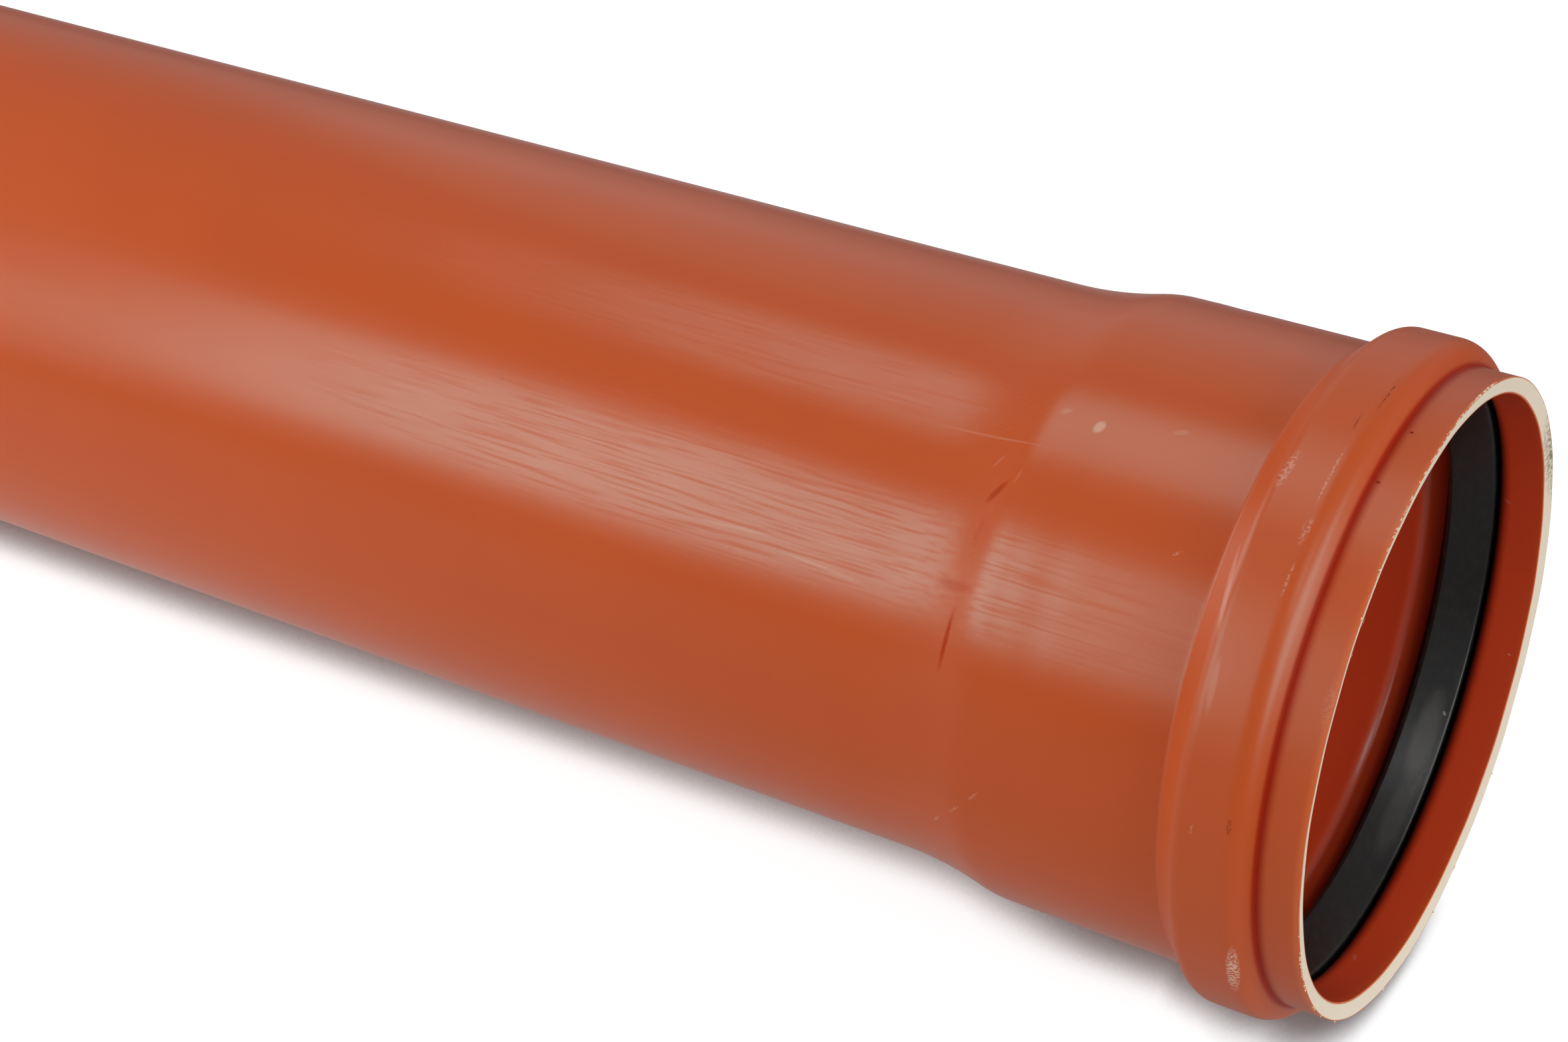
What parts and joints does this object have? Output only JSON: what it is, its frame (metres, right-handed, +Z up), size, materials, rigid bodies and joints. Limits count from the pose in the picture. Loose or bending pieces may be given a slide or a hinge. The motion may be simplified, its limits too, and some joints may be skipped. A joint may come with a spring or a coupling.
{
  "type": "drain pipe with socket",
  "caption": "Orange-brown PVC drain pipe with a belled socket, a seal bead near its mouth, a black rubber lip seal inside the bead and a bevelled spigot end.",
  "frame": {"origin": "on the floor, under the middle of the lying pipe", "axes": "+X along the pipe from the spigot to the socket's mouth, +Z up"},
  "size_m": [1.0947, 0.1822, 0.1823],
  "materials": {
    "orange_pvc": "satin",
    "black_rubber": "matte"
  },
  "bodies": {
    "root": {"pipe": "orange_pvc", "sealing_ring": "black_rubber"}
  },
  "joints": []
}
